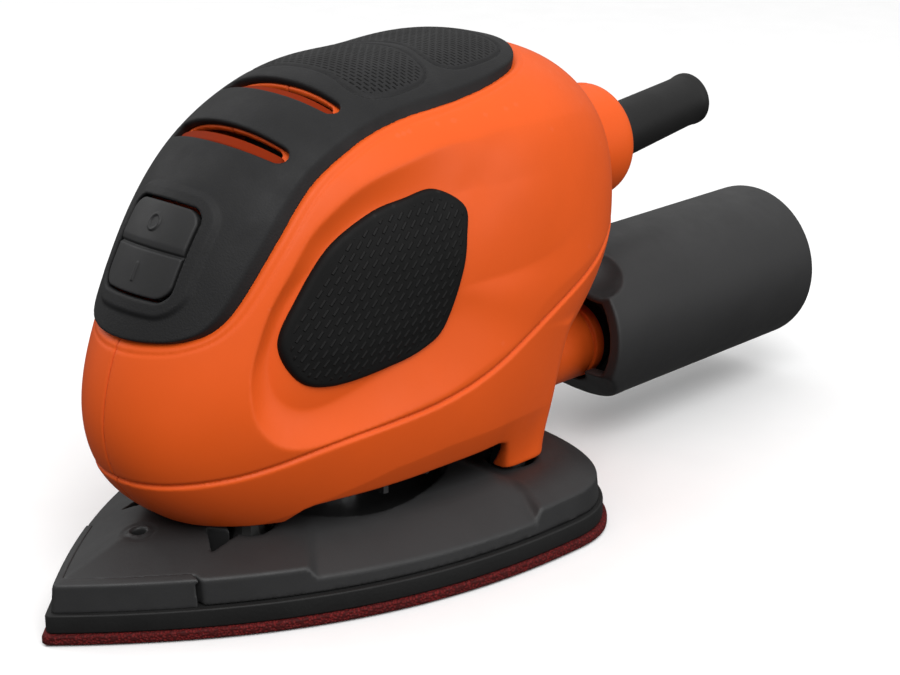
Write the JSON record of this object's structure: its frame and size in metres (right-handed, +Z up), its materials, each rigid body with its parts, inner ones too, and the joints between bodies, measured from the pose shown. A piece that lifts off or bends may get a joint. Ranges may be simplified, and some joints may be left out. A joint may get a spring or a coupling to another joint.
{
  "type": "detail mouse sander",
  "caption": "Palm-held detail sander: clamshell body with soft grip and side pads, pear-shaped orbiting base with a removable tip, rocker switch, cord sleeve and pull-off dust canister.",
  "frame": {"origin": "centre of the abrasive sheet's sanding face, half-way from tip to rear and on the centre plane", "axes": "+Z up, -Y towards the pointed tip, +Y towards the canister, +X the operator's right-hand side"},
  "size_m": [0.0944, 0.2325, 0.106],
  "materials": {
    "orange_shell": "satin moulded plastic",
    "soft_grip": "fine-textured soft grip",
    "side_rubber": "raised dash pattern",
    "rocker_plastic": "satin",
    "base_plastic": "satin moulded plastic",
    "base_foam": "firm foam",
    "hook_fabric": "hook tape",
    "abrasive": "abrasive grit on backing",
    "canister_plastic": "satin translucent-look plastic",
    "filter_cloth": "non-woven filter cloth",
    "cord_rubber": "matt",
    "steel": "zinc plated or ground",
    "copper": "enamelled copper",
    "carbon": "pressed carbon",
    "inner_plastic": "glass-filled plastic"
  },
  "bodies": {
    "housing": {"left_housing": "orange_shell", "right_housing": "orange_shell", "top_grip": "soft_grip", "right_side_pad": "side_rubber", "left_side_pad": "side_rubber", "switch_module": "inner_plastic", "housing_screw_1": "steel", "housing_screw_2": "steel", "housing_screw_3": "steel", "housing_screw_4": "steel", "field_core": "steel", "field_coil_front": "copper", "field_coil_rear": "copper", "lower_bearing": "steel", "upper_bearing": "steel", "upper_bearing_cap": "cord_rubber", "motor_bracket": "inner_plastic", "brush_holder_left": "inner_plastic", "brush_holder_right": "inner_plastic", "brush_spring_left": "steel", "brush_spring_right": "steel", "cord_sleeve": "cord_rubber", "cord_clamp": "inner_plastic", "suppressor_capacitor": "inner_plastic", "terminal_block": "inner_plastic", "dust_spigot": "orange_shell", "support_post_1": "cord_rubber", "support_post_2": "cord_rubber", "support_post_3": "cord_rubber", "support_post_4": "cord_rubber"},
    "rocker": {"switch_rocker": "rocker_plastic"},
    "rotor": {"motor_shaft": "steel", "armature_core": "steel", "armature_winding_lower": "copper", "armature_winding_upper": "copper", "commutator": "copper", "cooling_fan": "inner_plastic", "counterweight": "steel", "platen_screw": "steel"},
    "base": {"platen": "base_plastic", "platen_tip": "base_plastic", "tip_screw": "steel", "foam_pad": "base_foam", "hook_layer": "hook_fabric", "sanding_sheet": "abrasive", "platen_bearing": "steel"},
    "canister": {"canister_shell": "canister_plastic", "canister_filter": "filter_cloth"},
    "canister_lid": {"canister_cap": "canister_plastic"},
    "left_brush": {"brush_left": "carbon"},
    "right_brush": {"brush_right": "carbon"}
  },
  "joints": [
    {"name": "rotor_spin", "type": "hinge", "parent": "housing", "child": "rotor", "pos_m": [0, 0.006, 0.05], "axis": [0, 0, 1], "continuous": true},
    {"name": "base_orbit", "type": "hinge", "parent": "rotor", "child": "base", "pos_m": [0.0008, 0.006, 0.0115], "axis": [0, 0, 1], "continuous": true},
    {"name": "switch_rock", "type": "hinge", "parent": "housing", "child": "rocker", "pos_m": [0, -0.0319, 0.073], "axis": [1, 0, 0], "range_deg": [0, 8]},
    {"name": "canister_pull", "type": "slide", "parent": "housing", "child": "canister", "axis": [0, 1, 0], "range_m": [0, 0.045]},
    {"name": "cap_pull", "type": "slide", "parent": "canister", "child": "canister_lid", "axis": [0, 1, 0], "range_m": [0, 0.03]},
    {"name": "left_brush_slide", "type": "slide", "parent": "housing", "child": "left_brush", "axis": [-1, 0, 0], "range_m": [0, 0.0009], "stiffness_N_per_m": 200, "springref_m": -0.002},
    {"name": "right_brush_slide", "type": "slide", "parent": "housing", "child": "right_brush", "axis": [1, 0, 0], "range_m": [0, 0.0009], "stiffness_N_per_m": 200, "springref_m": -0.002}
  ],
  "couplings": [
    {"joint": "base_orbit", "follows": "rotor_spin", "ratio": -1}
  ]
}
